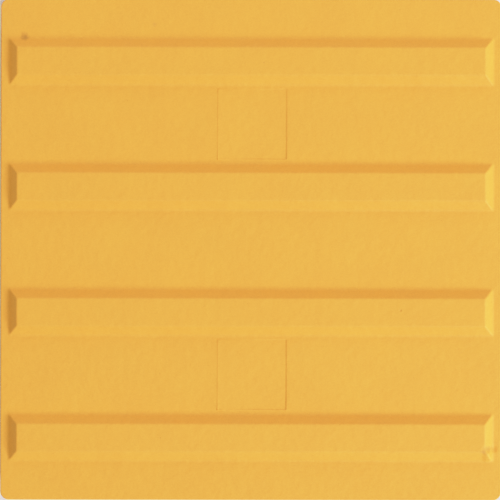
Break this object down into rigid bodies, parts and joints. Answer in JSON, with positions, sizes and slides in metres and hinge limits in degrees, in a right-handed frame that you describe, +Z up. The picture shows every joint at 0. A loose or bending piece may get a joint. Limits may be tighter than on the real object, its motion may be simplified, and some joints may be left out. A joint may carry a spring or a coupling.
{
  "type": "tactile paving slab",
  "caption": "Square yellow concrete paving slab with raised flat-topped parallel guide bars that a foot or cane follows along a path.",
  "frame": {"origin": "centre of the flat bed face, on the ground", "axes": "+Z up through the top face, +X along the guide bars, +Y across them"},
  "size_m": [0.3, 0.3, 0.065],
  "materials": {
    "yellow_concrete": "matt through-coloured pressed concrete with a fine sandy grain"
  },
  "bodies": {
    "root": {"paving_slab": "yellow_concrete"}
  },
  "joints": []
}
